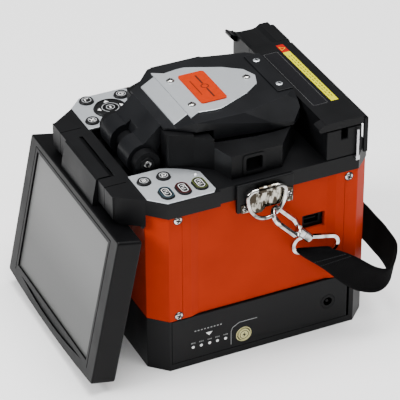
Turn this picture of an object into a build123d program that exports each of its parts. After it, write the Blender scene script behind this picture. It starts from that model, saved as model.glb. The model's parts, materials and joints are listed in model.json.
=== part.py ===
from build123d import *
import os

# Fiber fusion splicer, in millimetres.
# Origin: centre of the base's resting face. +X operator's right, +Y away, +Z up.

# ---- driving dimensions -------------------------------------------------------------
BODY_HALF_X = 66.0          # side faces of the housing
BODY_HALF_Y = 75.1          # front and rear faces
CORNER_X = 55.3             # where the chamfered corners meet the front and rear faces
CORNER_Y = 64.2             # where they meet the side faces
WALL = 3.0                  # moulded wall thickness
BASE_TOP = 37.4             # seam between the black tray and the orange panels
PANEL_TOP = 115.3           # seam between the orange panels and the black deck
DECK_TOP = 126.0
DECK_PLATE = 3.0
RECESS_X = 64.4             # recessed middle of the side panels
RECESS_Y = 43.9             # half length of that recess
STRIP_Y = 49.4              # where the bevel from the recess ends
SEAM_Y = 55.4               # seam between the side panels and the end panels
KEY_DECK_X = 69.0           # half width of the keypad part of the deck
REAR_DECK_X = 66.5          # half width of the deck behind it
PROW_Y = -92.5              # front edge of the monitor hinge housing
GAP = 0.3                   # play round parts that move

MONITOR_HALF_X = 69.6
MONITOR_HEIGHT = 100.7
MONITOR_THICK = 16.4
BEZEL_THICK = 9.0
MONITOR_AXIS = (-88.0, 117.8)      # Y, Z of the monitor hinge
SCREEN_HALF_X = 57.0
SCREEN_LOW, SCREEN_HIGH = 10.0, 94.0
LOWER_BOW = 3.0                    # how far the monitor's lower edge bows down
GROOVE_X = 59.6                    # shadow grooves round the screen
GROOVE_LOW, GROOVE_HIGH = 6.0, 96.5

COVER_AXIS = (-60.5, 129.5)        # Y, Z of the wind cover hinge
COVER_BARREL = 10.7
COVER_TOP = 156.0
FIBER_Y, FIBER_Z = -4.5, 134.3     # the line along which the fibers lie

HEATER_FRONT, HEATER_REAR = 42.0, 66.0
HEATER_TOP = 146.2
LID_LOW, LID_HIGH = 147.0, 152.0
LID_AXIS = (69.0, 148.0)           # Y, Z of the heater lid hinge
LID_SPLIT_X = -40.0

RING_X, RING_Y, RING_Z = 71.5, -1.2, 121.6    # middle of the D-ring's straight bar
RING_WIRE = 1.3

os.makedirs("parts", exist_ok=True)


# ---- helpers ------------------------------------------------------------------------
def at_z(z):
    """Horizontal plane at height z."""
    return Plane.XY.offset(z)


def at_x(x):
    """Side plane at x; its axes are Y and Z, and it faces +X."""
    return Plane.YZ.offset(x)


def mirrored(half):
    """A left-right symmetric outline from its right-hand points, front to back."""
    return half + [(-x, y) for x, y in reversed(half) if x != 0]


def block(plane, outline, depth, mode=Mode.ADD):
    """Extrude a straight-sided outline from a plane into the part being built."""
    with BuildSketch(plane) as face:
        with BuildLine():
            Polyline(*outline, close=True)
        make_face()
    extrude(face.sketch, amount=depth, mode=mode)


def slab(x, y, z, mode=Mode.ADD):
    """Add or cut a box given as three (low, high) spans."""
    corners = [(x[0], y[0]), (x[1], y[0]), (x[1], y[1]), (x[0], y[1])]
    block(at_z(z[0]), corners, z[1] - z[0], mode)


def rod(plane, centre, radius, depth, mode=Mode.ADD):
    """Add or cut a round bar that starts on a plane."""
    with BuildSketch(plane) as face:
        with Locations(centre):
            Circle(radius)
    extrude(face.sketch, amount=depth, mode=mode)


def save(built, name):
    """Label a finished piece and write its STEP file."""
    built.part.label = name
    export_step(built.part, f"parts/{name}.step")


def body_outline(inset=0.0):
    """Plan of the housing, moved inwards by inset."""
    cut = inset * 0.414
    return mirrored([(CORNER_X - cut, -BODY_HALF_Y + inset), (BODY_HALF_X - inset, -CORNER_Y + cut),
                     (BODY_HALF_X - inset, CORNER_Y - cut), (CORNER_X - cut, BODY_HALF_Y - inset)])


# ---- base tray ----------------------------------------------------------------------
BATTERY_Y = (-62.7, 59.5)
BATTERY_Z = (5.0, 37.0)
BAY_END_X = -22.0

with BuildPart() as base_tray:
    block(at_z(0), body_outline(), BASE_TOP)
    block(at_z(WALL), body_outline(WALL), BASE_TOP)
    block(at_z(WALL), body_outline(WALL), BASE_TOP, Mode.SUBTRACT)
    slab((BAY_END_X - WALL, BAY_END_X), (-72, 72), (WALL, BASE_TOP - 2))
    slab((50, 70), (BATTERY_Y[0] - GAP, BATTERY_Y[1] + 1.6), (4.7, BASE_TOP + 1), Mode.SUBTRACT)
save(base_tray, "base_tray")


# ---- orange panels ------------------------------------------------------------------
def end_panel(side):
    """Front (side -1) or rear (side +1) wall with its chamfered corners."""
    outer = mirrored([(BODY_HALF_X, side * (SEAM_Y + 0.1)), (BODY_HALF_X, side * CORNER_Y),
                      (CORNER_X, side * BODY_HALF_Y)])
    inner_corner = WALL * 0.414
    inner = mirrored([(BODY_HALF_X - WALL, side * (SEAM_Y - 5)),
                      (BODY_HALF_X - WALL, side * (CORNER_Y - inner_corner)),
                      (CORNER_X - inner_corner, side * (BODY_HALF_Y - WALL))])
    with BuildPart() as panel:
        block(at_z(BASE_TOP), outer, PANEL_TOP - BASE_TOP)
        block(at_z(BASE_TOP - 1), inner, PANEL_TOP - BASE_TOP + 2, Mode.SUBTRACT)
    return panel


front_panel = end_panel(-1)
save(front_panel, "front_panel")
rear_panel = end_panel(1)
save(rear_panel, "rear_panel")

# Opening of the data port in the right side panel.
PORT_Y = (27.0, 42.6)
PORT_Z = (77.8, 89.0)


def side_panel(side):
    """Right (side 1) or left (side -1) wall with its recessed middle."""
    outer = [(side * x, y) for x, y in [
        (BODY_HALF_X - WALL, -SEAM_Y), (BODY_HALF_X, -SEAM_Y), (BODY_HALF_X, -STRIP_Y),
        (RECESS_X, -RECESS_Y), (RECESS_X, RECESS_Y), (BODY_HALF_X, STRIP_Y),
        (BODY_HALF_X, SEAM_Y), (BODY_HALF_X - WALL, SEAM_Y),
        (RECESS_X - WALL, RECESS_Y), (RECESS_X - WALL, -RECESS_Y)]]
    with BuildPart() as panel:
        block(at_z(BASE_TOP), outer, PANEL_TOP - BASE_TOP)
        if side > 0:
            slab((50, 70), PORT_Y, PORT_Z, Mode.SUBTRACT)
    return panel


right_side_panel = side_panel(1)
save(right_side_panel, "right_side_panel")
left_side_panel = side_panel(-1)
save(left_side_panel, "left_side_panel")

# The socket sits inside the opening; its mouth is a slot 2 mm high.
with BuildPart() as port_socket:
    slab((50, 61), (PORT_Y[0] + 0.2, PORT_Y[1] - 0.2), (PORT_Z[0] + 0.2, PORT_Z[1] - 0.2))
    slab((52, 62), (PORT_Y[0] + 3, PORT_Y[1] - 3), (PORT_Z[0] + 3, PORT_Z[1] - 3), Mode.SUBTRACT)
    slab((52, 60), (PORT_Y[0] + 4, PORT_Y[1] - 4), (82.8, 84))
save(port_socket, "port_socket")

# Eight cross-head screws, two above each other near each end of both sides.
SCREW_Y = 58.0
SCREW_HEAD = 2.7
SCREW_RISE = 1.0
with BuildPart() as panel_screws:
    for side in (-1, 1):
        for y in (-SCREW_Y, SCREW_Y):
            for z in (40.6, 110.9):
                rod(at_x(side * BODY_HALF_X), (y, z), SCREW_HEAD, side * SCREW_RISE)
save(panel_screws, "panel_screws")

# ---- deck ---------------------------------------------------------------------------
STEP_Y = -31.0              # where the keypad part of the deck ends
DECK_CHAMFER_Y = -65.5
PROW_FRONT_X = 47.5
PROW_SIDE = (58.5, -75.8)
PROW_BOTTOM = 107.0
SLOT_HALF_X = 25.3
SLOT_REAR_Y = -77.2
PIT_HALF_X = 29.5
PIT_Y = (-74.0, -49.4)
PIT_FLOOR = 116.0
STAGE_HALF_X = 43.0
STAGE_Y = (-26.0, 22.0)

# Key centres with the radius of the round ones.
ROUND_KEYS = {
    "key_menu": (-62.5, -63.1, 4.6),
    "key_power": (-60.6, -40.0, 4.6),
    "key_close": (-38.3, -69.2, 4.3),
    "key_zoom": (40.6, -68.8, 4.3),
    "key_arc": (40.0, -55.6, 4.3),
}
OVAL_KEYS = {
    "key_blue": (58.1, -61.9),
    "key_red": (57.7, -50.6),
    "key_green": (57.0, -39.3),
}
OVAL_LONG, OVAL_SHORT = 13.0, 8.2
DPAD = (-47.7, -52.8)
DPAD_RADIUS = 10.6
OK_RADIUS = 4.0


def cut_key_holes(low, depth):
    """Cut a hole with play for every key."""
    for x, y, radius in ROUND_KEYS.values():
        rod(at_z(low), (x, y), radius + GAP, depth, Mode.SUBTRACT)
    for x, y in OVAL_KEYS.values():
        with BuildSketch(at_z(low)) as hole:
            with Locations((x, y)):
                SlotOverall(OVAL_LONG + 2 * GAP, OVAL_SHORT + 2 * GAP)
        extrude(hole.sketch, amount=depth, mode=Mode.SUBTRACT)
    rod(at_z(low), DPAD, DPAD_RADIUS + GAP, depth, Mode.SUBTRACT)


key_deck = mirrored([PROW_SIDE, (KEY_DECK_X, DECK_CHAMFER_Y), (KEY_DECK_X, STEP_Y)])
rear_deck = mirrored([(REAR_DECK_X, STEP_Y - 1), (REAR_DECK_X, CORNER_Y + 0.2),
                      (CORNER_X + 0.2, BODY_HALF_Y + 0.5)])
deck_hollow = mirrored([(58.8, -74.6), (KEY_DECK_X - 1, DECK_CHAMFER_Y + 0.1),
                        (KEY_DECK_X - 1, STEP_Y - 3), (REAR_DECK_X - WALL, STEP_Y),
                        (REAR_DECK_X - WALL, CORNER_Y - 1), (CORNER_X - 1, BODY_HALF_Y - WALL)])
with BuildPart() as top_deck:
    block(at_z(PANEL_TOP), key_deck, DECK_TOP - PANEL_TOP)
    block(at_z(PANEL_TOP), rear_deck, DECK_TOP - PANEL_TOP)
    # Hollow underside, then the floor and walls of the hinge pit.
    block(at_z(PANEL_TOP - 1), deck_hollow, DECK_TOP - DECK_PLATE - PANEL_TOP + 1, Mode.SUBTRACT)
    slab((-PIT_HALF_X - WALL, PIT_HALF_X + WALL), (-BODY_HALF_Y, PIT_Y[1] + WALL),
         (PIT_FLOOR - 0.5, DECK_TOP))
    slab((-PIT_HALF_X, PIT_HALF_X), PIT_Y, (PIT_FLOOR + 2, DECK_TOP + 1), Mode.SUBTRACT)
    # Monitor hinge housing with a slot for the neck and a rounded lower front edge.
    block(at_z(PROW_BOTTOM), mirrored([(PROW_FRONT_X, PROW_Y), (PROW_FRONT_X, -91), PROW_SIDE]),
          DECK_TOP - PROW_BOTTOM)
    slab((-SLOT_HALF_X, SLOT_HALF_X), (PROW_Y - 1, SLOT_REAR_Y), (100, DECK_TOP + 1), Mode.SUBTRACT)
    # Rib behind the neck that keeps the slot narrow at deck level.
    block(at_x(-SLOT_HALF_X), [(SLOT_REAR_Y + 0.1, DECK_TOP), (-81.4, DECK_TOP), (-79.7, 124.2),
                               (-78.2, 122), (SLOT_REAR_Y + 0.1, 119.5)], 2 * SLOT_HALF_X)
    block(at_x(-70), [(PROW_Y - 1, 106), (-89, 106), (-89, PROW_BOTTOM), (PROW_Y, 110.5),
                      (PROW_Y - 1, 110.5)], 140, Mode.SUBTRACT)
    for x in (-35.0, 35.0):
        slab((x - 0.3, x + 0.3), (PROW_Y - 1, -78), (DECK_TOP - 0.5, DECK_TOP + 1), Mode.SUBTRACT)
        slab((x - 0.3, x + 0.3), (PROW_Y - 1, PROW_Y + 0.5), (100, DECK_TOP + 1), Mode.SUBTRACT)
    # Front skirt that hangs over the orange panel.
    slab((-CORNER_X, CORNER_X), (-77.0, -BODY_HALF_Y - 0.1), (104, DECK_TOP))
    # Bore of the monitor hinge pin.
    rod(at_x(-PROW_FRONT_X), MONITOR_AXIS, 2.0, 2 * PROW_FRONT_X, Mode.SUBTRACT)
    # Fixed ears and the inner barrel of the wind cover hinge.
    for x_low, x_high, radius in ((-27.6, -21.6, 8.3), (-5.2, 5.2, 6.5), (21.6, 27.6, 8.3)):
        rod(at_x(x_low), COVER_AXIS, radius, x_high - x_low)
        half = radius - 1
        slab((x_low, x_high), (COVER_AXIS[0] - half, COVER_AXIS[0] + half),
             (PIT_FLOOR + 1, COVER_AXIS[1]))
    rod(at_x(-28), COVER_AXIS, 2.0, 56, Mode.SUBTRACT)
    cut_key_holes(PANEL_TOP, 20)
    # Opening under the splice stage.
    slab((-STAGE_HALF_X - 0.2, STAGE_HALF_X + 0.2), (STAGE_Y[0] - 0.2, STAGE_Y[1] + 0.2),
         (PANEL_TOP, DECK_TOP + 1), Mode.SUBTRACT)
save(top_deck, "top_deck")

PLATE_RISE = 0.5
with BuildPart() as keypad_plates:
    for side in (-1, 1):
        with BuildSketch(at_z(DECK_TOP)) as plate:
            with BuildLine():
                front = Polyline((side * 30.5, -54), (side * 30.5, -75), (side * 59, -75),
                                 (side * 68.3, -65.5), (side * 68.3, -35), (side * 65, -32.5),
                                 (side * 44, -33))
                Spline(front @ 1, (side * 37, -41), front @ 0)
            make_face()
        extrude(plate.sketch, amount=PLATE_RISE)
    cut_key_holes(DECK_TOP - 1, 4)
save(keypad_plates, "keypad_plates")

# ---- keys ---------------------------------------------------------------------------
KEY_TOP = 127.7
KEY_FOOT = 121.0
FLANGE_TOP = 122.7
FLANGE_WIDTH = 0.6


def round_key(x, y, radius, inner=0.0, top=KEY_TOP):
    """A round key: a cap with a soft edge on a wider flange under the deck."""
    with BuildPart() as key:
        rod(at_z(KEY_FOOT), (x, y), radius, top - KEY_FOOT)
        fillet(key.faces().sort_by(Axis.Z)[-1].edges(), 0.6)
        rod(at_z(KEY_FOOT), (x, y), radius + FLANGE_WIDTH, FLANGE_TOP - KEY_FOOT)
        if inner:
            rod(at_z(KEY_FOOT - 1), (x, y), inner, 12, Mode.SUBTRACT)
    return key


def oval_key(x, y):
    """A stadium-shaped key with a flange."""
    with BuildPart() as key:
        for grow, top in ((0.0, KEY_TOP), (2 * FLANGE_WIDTH, FLANGE_TOP)):
            with BuildSketch(at_z(KEY_FOOT)) as cap:
                with Locations((x, y)):
                    SlotOverall(OVAL_LONG + grow, OVAL_SHORT + grow)
            extrude(cap.sketch, amount=top - KEY_FOOT)
        fillet(key.faces().sort_by(Axis.Z)[-1].edges(), 0.6)
    return key


for name, (x, y, radius) in ROUND_KEYS.items():
    save(round_key(x, y, radius), name)
for name, (x, y) in OVAL_KEYS.items():
    save(oval_key(x, y), name)
save(round_key(*DPAD, DPAD_RADIUS, inner=OK_RADIUS + GAP), "dpad")

with BuildPart() as key_ok:
    rod(at_z(KEY_FOOT), DPAD, OK_RADIUS, KEY_TOP + 0.2 - KEY_FOOT)
    fillet(key_ok.faces().sort_by(Axis.Z)[-1].edges(), 0.5)
save(key_ok, "key_ok")

# ---- monitor ------------------------------------------------------------------------
# The screen plane leans back; its own X is the frame's X and its Y runs up the screen.
SCREEN_NORMAL = (0, -0.979, 0.2037)
screen_plane = Plane((0, -119.2, 9.8), x_dir=(1, 0, 0), z_dir=SCREEN_NORMAL)


def behind_screen(depth):
    """The screen plane moved back by depth."""
    return screen_plane.offset(-depth)


def screen_box(half_x, low, high, front, back, corner=0.0, mode=Mode.ADD):
    """A rectangle on the monitor, from depth front to depth back."""
    with BuildSketch(behind_screen(back)) as face:
        with Locations((0, (low + high) / 2)):
            if corner:
                RectangleRounded(2 * half_x, high - low, corner)
            else:
                Rectangle(2 * half_x, high - low)
    extrude(face.sketch, amount=back - front, mode=mode)


def monitor_slice(front, back):
    """The monitor's outline with its bowed lower edge, from depth front to depth back."""
    with BuildSketch(behind_screen(back)) as face:
        with BuildLine():
            Polyline((-MONITOR_HALF_X, 0), (-MONITOR_HALF_X, MONITOR_HEIGHT),
                     (MONITOR_HALF_X, MONITOR_HEIGHT), (MONITOR_HALF_X, 0))
            ThreePointArc((MONITOR_HALF_X, 0), (0, -LOWER_BOW), (-MONITOR_HALF_X, 0))
        make_face()
        fillet(face.vertices(), 2.0)
    extrude(face.sketch, amount=back - front)


FRONT_AXIS = Axis((0, 0, 0), SCREEN_NORMAL)
with BuildPart() as monitor_bezel:
    monitor_slice(0, BEZEL_THICK)
    fillet(monitor_bezel.faces().sort_by(FRONT_AXIS)[-1].edges(), 1.0)
    screen_box(MONITOR_HALF_X - 2.5, 2.5, MONITOR_HEIGHT - 2.5, 1.2, BEZEL_THICK + 1,
               mode=Mode.SUBTRACT)
    screen_box(SCREEN_HALF_X, SCREEN_LOW, SCREEN_HIGH, -1, 3, mode=Mode.SUBTRACT)
    # Shadow groove beside and above the screen, and the crescent recess below it.
    for x in (-GROOVE_X, GROOVE_X):
        with BuildSketch(behind_screen(0.6)) as groove:
            with Locations((x, (GROOVE_LOW + GROOVE_HIGH) / 2)):
                Rectangle(0.7, GROOVE_HIGH - GROOVE_LOW)
        extrude(groove.sketch, amount=1, mode=Mode.SUBTRACT)
    with BuildSketch(behind_screen(0.6)) as groove:
        with Locations((0, GROOVE_HIGH)):
            Rectangle(2 * GROOVE_X, 0.7)
    extrude(groove.sketch, amount=1, mode=Mode.SUBTRACT)
    with BuildSketch(behind_screen(0.9)) as crescent:
        with BuildLine():
            Line((-50, 6.6), (50, 6.6))
            ThreePointArc((50, 6.6), (0, 2.4), (-50, 6.6))
        make_face()
    extrude(crescent.sketch, amount=1.5, mode=Mode.SUBTRACT)
save(monitor_bezel, "monitor_bezel")

with BuildPart() as monitor_back:
    monitor_slice(BEZEL_THICK, MONITOR_THICK)
    fillet(monitor_back.faces().sort_by(FRONT_AXIS)[0].edges(), 1.5)
    screen_box(MONITOR_HALF_X - 2.5, 2.5, MONITOR_HEIGHT - 2.5, BEZEL_THICK - 1,
               MONITOR_THICK - 2.5, mode=Mode.SUBTRACT)
save(monitor_back, "monitor_back")

with BuildPart() as screen_glass:
    screen_box(SCREEN_HALF_X + 4, SCREEN_LOW - 4, SCREEN_HIGH + 3, 1.3, 2.5)
save(screen_glass, "screen_glass")

with BuildPart() as lcd_panel:
    screen_box(SCREEN_HALF_X + 5, SCREEN_LOW - 5, SCREEN_HIGH + 3.5, 2.6, 8.0)
save(lcd_panel, "lcd_panel")

NECK_HALF_X = 24.8
NECK_SECTION = [(-96.5, 107.94), (-95.8, 113.3), (-93.4, 125.6), (-91.6, 126.6), (-84.6, 126.6),
                (-80.4, 123.8), (-78.3, 119.5), (-78.3, 114), (-80.5, 109), (-83.0, 105.14)]
with BuildPart() as monitor_neck:
    block(at_x(-NECK_HALF_X), NECK_SECTION, 2 * NECK_HALF_X)
    fillet(monitor_neck.edges().filter_by(Axis.X).group_by(Axis.Z)[-1], 1.2)
    rod(at_x(-NECK_HALF_X - 1), MONITOR_AXIS, 2.06, 2 * NECK_HALF_X + 2, Mode.SUBTRACT)
save(monitor_neck, "monitor_neck")

# ---- wind cover ---------------------------------------------------------------------
COVER_SIDE_BOTTOM = 142.8
COVER_LIP = 149.5
SIDE_HOLLOW_TOP = 146.2
cover_plan = [(24.6, -48.6), (36.5, -31.5), (43.3, 15), (43.3, 31), (36, 38.6), (24.4, 40)]
cover_profile = [(-48.7, COVER_LIP), (-48.6, 151), (-41.5, 150.9), (-32.5, COVER_TOP),
                 (40.5, COVER_TOP), (40.5, COVER_SIDE_BOTTOM), (-21, COVER_SIDE_BOTTOM),
                 (-21, COVER_LIP)]
# Sloping facets: a point on each and its outward normal.
cover_facets = [((37.5, 0, COVER_TOP), (0.627, 0.152, 0.764)),
                ((36.5, -31, COVER_TOP), (0.831, -0.027, 0.556)),
                ((29.5, 33, COVER_TOP), (0.370, 0.341, 0.864))]


def cover_form():
    """Solid outer form of the wind cover's cap."""
    with BuildPart() as form:
        block(at_z(COVER_SIDE_BOTTOM), mirrored(cover_plan), COVER_TOP - COVER_SIDE_BOTTOM)
        block(at_x(-60), cover_profile, 120, Mode.INTERSECT)
        for side in (1, -1):
            for (px, py, pz), (nx, ny, nz) in cover_facets:
                split(bisect_by=Plane((side * px, py, pz), z_dir=(side * nx, ny, nz)),
                      keep=Keep.BOTTOM)
    return form


cover_cap = cover_form()
KNUCKLE_X = (5.5, 21.0)
with BuildPart() as cover_shell:
    add(cover_cap.part)
    # Hollow of the cap: open below.
    block(at_z(COVER_SIDE_BOTTOM - 1), mirrored([(34.8, -18.8), (40.8, 15), (40.8, 30),
                                                 (34.5, 36.3), (23, 37.8)]),
          SIDE_HOLLOW_TOP - COVER_SIDE_BOTTOM + 1, Mode.SUBTRACT)
    block(at_z(COVER_SIDE_BOTTOM), mirrored([(28, -18.8), (31, 0), (25, 30), (20, 36.5)]),
          COVER_TOP - 2.5 - COVER_SIDE_BOTTOM, Mode.SUBTRACT)
    # Hinge arm from the barrels to the cap.
    arm = [(COVER_AXIS[0], COVER_AXIS[1] + COVER_BARREL - 0.1), (-48.6, 150.9), (-41.5, 150.8),
           (-36, 153), (-36, 149.5), (-44, 147), (-50.6, 134), (COVER_AXIS[0], COVER_AXIS[1])]
    block(at_x(-KNUCKLE_X[1]), arm, 2 * KNUCKLE_X[1])
    rod(at_x(-KNUCKLE_X[1]), COVER_AXIS, COVER_BARREL, 2 * KNUCKLE_X[1])
    rod(at_x(-KNUCKLE_X[0]), COVER_AXIS, 7.0, 2 * KNUCKLE_X[0], Mode.SUBTRACT)
    block(at_x(-KNUCKLE_X[0]), [COVER_AXIS, (-57.0, 143), (-78, 143), (-78, 108), (-48, 108),
                                (-48, 122.3)], 2 * KNUCKLE_X[0], Mode.SUBTRACT)
    rod(at_x(-30), COVER_AXIS, 2.06, 60, Mode.SUBTRACT)
save(cover_shell, "cover_shell")

PLATE_THICK = 0.8
with BuildPart() as cover_plate:
    half_plate = [(30.0, -32.3), (26, -25.5), (27.5, -16), (27.5, -11), (26, -7), (17.8, 11),
                  (14, 16), (9.5, 22), (0, 25.5)]
    block(at_z(COVER_TOP), mirrored(half_plate), PLATE_THICK)
    # Front strip folded down over the slope.
    block(at_x(-25), [(-32.5, COVER_TOP), (-32.5, COVER_TOP + PLATE_THICK),
                      (-41.5, 150.9 + PLATE_THICK), (-41.5, 150.9)], 50)
save(cover_plate, "cover_plate")

with BuildPart() as cover_badge:
    with BuildSketch(at_z(COVER_TOP + PLATE_THICK)) as badge:
        with Locations((0, -10.8)):
            RectangleRounded(36.6, 17.6, 2.0)
    extrude(badge.sketch, amount=0.7)
save(cover_badge, "cover_badge")

with BuildPart() as latch_plate:
    slab((-24.0, 24.0), (29.2, 39.8), (COVER_TOP, COVER_TOP + PLATE_THICK))
save(latch_plate, "latch_plate")

# Two feet under the cover that hold the fibers in their grooves.
with BuildPart() as fibre_pressers:
    for x in (-9, 9):
        slab((x - 3, x + 3), (FIBER_Y - 2, FIBER_Y + 2), (FIBER_Z + 0.5, COVER_TOP - 2.5))
save(fibre_pressers, "fibre_pressers")

# ---- splice chamber -----------------------------------------------------------------
chamber_outer = [(31, -49), (37.5, -34), (45.4, -24), (60, -19.5), (60, 14.7), (45.6, 26.5),
                 (38, 34)]
chamber_inner = [(21.7, -50), (21.7, -30), (29.5, -22.2), (43.4, -22.2), (44.2, -20.5),
                 (44.2, 15.5), (43.8, 25.2), (36.8, 32.4)]
CORNER_ROUND = 3.5
NOTCH_Y, NOTCH_Z = (-10.0, 1.0), (129.5, 139.0)
FRONT_WALL_TOP = 149.0
BLOCK_TOP = 142.0
with BuildPart() as splice_chamber:
    block(at_z(DECK_TOP), mirrored(chamber_outer), FRONT_WALL_TOP - DECK_TOP)
    block(at_z(DECK_TOP - 1), mirrored(chamber_inner), 30, Mode.SUBTRACT)
    # Steps in the wall: shoulders, then the low side blocks and the rear wall.
    slab((-70, 70), (-34, 40), (147.5, 160), Mode.SUBTRACT)
    slab((-70, 70), (-24, 40), (BLOCK_TOP, 160), Mode.SUBTRACT)
    for side in (-1, 1):
        # Ledge that closes the gap beside the front of the wind cover.
        block(at_z(138.5), [(side * 44.3, -22.4), (side * 39.6, -22.4), (side * 40.8, -17.5),
                            (side * 44.3, 4)], BLOCK_TOP - 138.5)
    front_corners = splice_chamber.edges().filter_by(Axis.Z).filter_by_position(
        Axis.Y, -49.1, -48.9).sort_by(Axis.X)
    fillet([front_corners[0], front_corners[-1]], CORNER_ROUND)
    for side in (-1, 1):
        # Room inside each side block, and the rimmed fiber notch in its outer wall.
        slab(sorted((side * 43.5, side * 58)), (-16, 11), (DECK_TOP + 2, BLOCK_TOP - 2),
             Mode.SUBTRACT)
        rim = Plane((side * 60, (NOTCH_Y[0] + NOTCH_Y[1]) / 2, (NOTCH_Z[0] + NOTCH_Z[1]) / 2),
                    x_dir=(0, 1, 0), z_dir=(side, 0, 0))
        with BuildSketch(rim) as frame:
            RectangleRounded(15, 13, 2.4)
        extrude(frame.sketch, amount=0.8)
        with BuildSketch(rim.offset(-4)) as notch:
            RectangleRounded(NOTCH_Y[1] - NOTCH_Y[0], NOTCH_Z[1] - NOTCH_Z[0], 1.6)
        extrude(notch.sketch, amount=8, mode=Mode.SUBTRACT)
save(splice_chamber, "splice_chamber")

# ---- stage inside the chamber -------------------------------------------------------
STAGE_TOP = 126.0
with BuildPart() as alignment_base:
    slab((-STAGE_HALF_X, STAGE_HALF_X), STAGE_Y, (STAGE_TOP - 6, STAGE_TOP))
    slab((-5, 5), (-19, 10), (STAGE_TOP - 8, STAGE_TOP + 1), Mode.SUBTRACT)
    # Beds of the sheath clamps with a groove for the coated fiber.
    for x in (-31, 31):
        slab((x - 11, x + 11), (-14, 6), (STAGE_TOP, FIBER_Z - 0.5))
        slab((x - 12, x + 12), (FIBER_Y - 0.3, FIBER_Y + 0.3), (FIBER_Z - 0.8, FIBER_Z),
             Mode.SUBTRACT)
save(alignment_base, "alignment_base")

with BuildPart() as v_grooves:
    for side in (-1, 1):
        section = [(FIBER_Y - 4, STAGE_TOP), (FIBER_Y + 4, STAGE_TOP), (FIBER_Y + 4, FIBER_Z),
                   (FIBER_Y + 0.4, FIBER_Z), (FIBER_Y, FIBER_Z - 0.4), (FIBER_Y - 0.4, FIBER_Z),
                   (FIBER_Y - 4, FIBER_Z)]
        block(at_x(side * 9 - 3.7), section, 7.4)
save(v_grooves, "v_grooves")

ELECTRODE_R = 1.0
TIP_GAP = 1.0
with BuildPart() as electrodes:
    for side in (-1, 1):
        holder = sorted((FIBER_Y + side * 16, FIBER_Y + side * 21))
        slab((-7, 7), holder, (STAGE_TOP, FIBER_Z + 4))
        tip = Plane((0, FIBER_Y + side * TIP_GAP, FIBER_Z), z_dir=(0, side, 0))
        with Locations(tip):
            Cone(0.1, ELECTRODE_R, 4, align=(Align.CENTER, Align.CENTER, Align.MIN))
        rod(tip.offset(3.9), (0, 0), ELECTRODE_R, 13)
save(electrodes, "electrodes")

SCOPE_RADIUS = 4.4
SCOPE_LENGTH = 36.0
with BuildPart() as microscopes:
    for side in (-1, 1):
        axis = Plane((0, FIBER_Y + side * 5, FIBER_Z - 8.66), z_dir=(0, side * 0.5, -0.866))
        rod(axis, (0, 0), SCOPE_RADIUS, SCOPE_LENGTH)
save(microscopes, "microscopes")

with BuildPart() as motors:
    for x in (-26, 26):
        for y in (-15, 11):
            rod(at_z(STAGE_TOP - 6), (x, y), 7, -20)
            rod(at_z(STAGE_TOP - 26), (x, y), 4, -4)
save(motors, "motors")

BOARD_Z = 55.0
with BuildPart() as main_board:
    slab((-55, 55), (-58, 58), (BOARD_Z, BOARD_Z + 1.6))
    slab((-30, 8), (-30, 8), (BOARD_Z + 1.6, BOARD_Z + 4))
    slab((20, 46), (20, 50), (BOARD_Z + 1.6, BOARD_Z + 24))
    # Tabs that hold the board to the side panels.
    for x_low, x_high in ((-RECESS_X + WALL, -54), (54, RECESS_X - WALL)):
        for y in (-30, 15):
            slab((x_low, x_high), (y, y + 10), (BOARD_Z, BOARD_Z + 6))
    for y in (-45, -25, -5, 15):
        slab((38, 50), (y, y + 9), (BOARD_Z + 1.6, BOARD_Z + 7))
save(main_board, "main_board")

# Each sheath lid hinges behind its bed and presses the coating from above.
LID_PIVOT = (8.5, FIBER_Z + 1.5)
for name, x in (("sheath_lid_left", -31), ("sheath_lid_right", 31)):
    with BuildPart() as sheath_lid:
        slab((x - 9, x + 9), (-12, LID_PIVOT[0]), (FIBER_Z + 0.1, FIBER_Z + 3.0))
        rod(at_x(x - 9), LID_PIVOT, 1.7, 18)
        slab((x - 4, x + 4), (-15, -11.5), (FIBER_Z + 0.6, FIBER_Z + 2.5))
    save(sheath_lid, name)

# ---- tube heater --------------------------------------------------------------------
HEATER_X = 66.0
TUBE_Y = 54.0
with BuildPart() as heater_body:
    slab((-HEATER_X, HEATER_X), (HEATER_FRONT, HEATER_REAR), (DECK_TOP, HEATER_TOP))
    slab((-45, 45), (TUBE_Y - 5, TUBE_Y + 5), (136, HEATER_TOP + 1), Mode.SUBTRACT)
    slab((-70, 70), (TUBE_Y - 2.2, TUBE_Y + 2.2), (139, HEATER_TOP + 1), Mode.SUBTRACT)
save(heater_body, "heater_body")

with BuildPart() as heater_plate:
    tray = [(TUBE_Y - 5, 136), (TUBE_Y + 5, 136), (TUBE_Y + 5, 144), (TUBE_Y + 3.8, 144),
            (TUBE_Y + 1.2, 137.5), (TUBE_Y - 1.2, 137.5), (TUBE_Y - 3.8, 144), (TUBE_Y - 5, 144)]
    block(at_x(-44.5), tray, 89)
save(heater_plate, "heater_plate")

WINDOW_X = (-29.0, 43.0)
WINDOW_Y = (43.8, 56.0)

# Side views of the two lid lips, and of the finger hollow in the left piece.
flat_lip = [(41.5, LID_LOW), (37.5, LID_LOW), (36.5, 148), (36.5, 149.6), (38, 150.6), (41.5, 152)]
horn_lip = [(41.5, LID_LOW), (39, 148.2), (36.4, 151.0), (36.2, 153.2), (37.2, 153.6),
            (39.5, 152.2), (41.5, 151.2)]
hand_dip = [(41.5, 153), (41.5, 151.2), (44.5, 149.9), (47.5, 149.5), (56, 149.5), (58.5, 150.2),
            (61, 152), (61, 153)]


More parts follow.
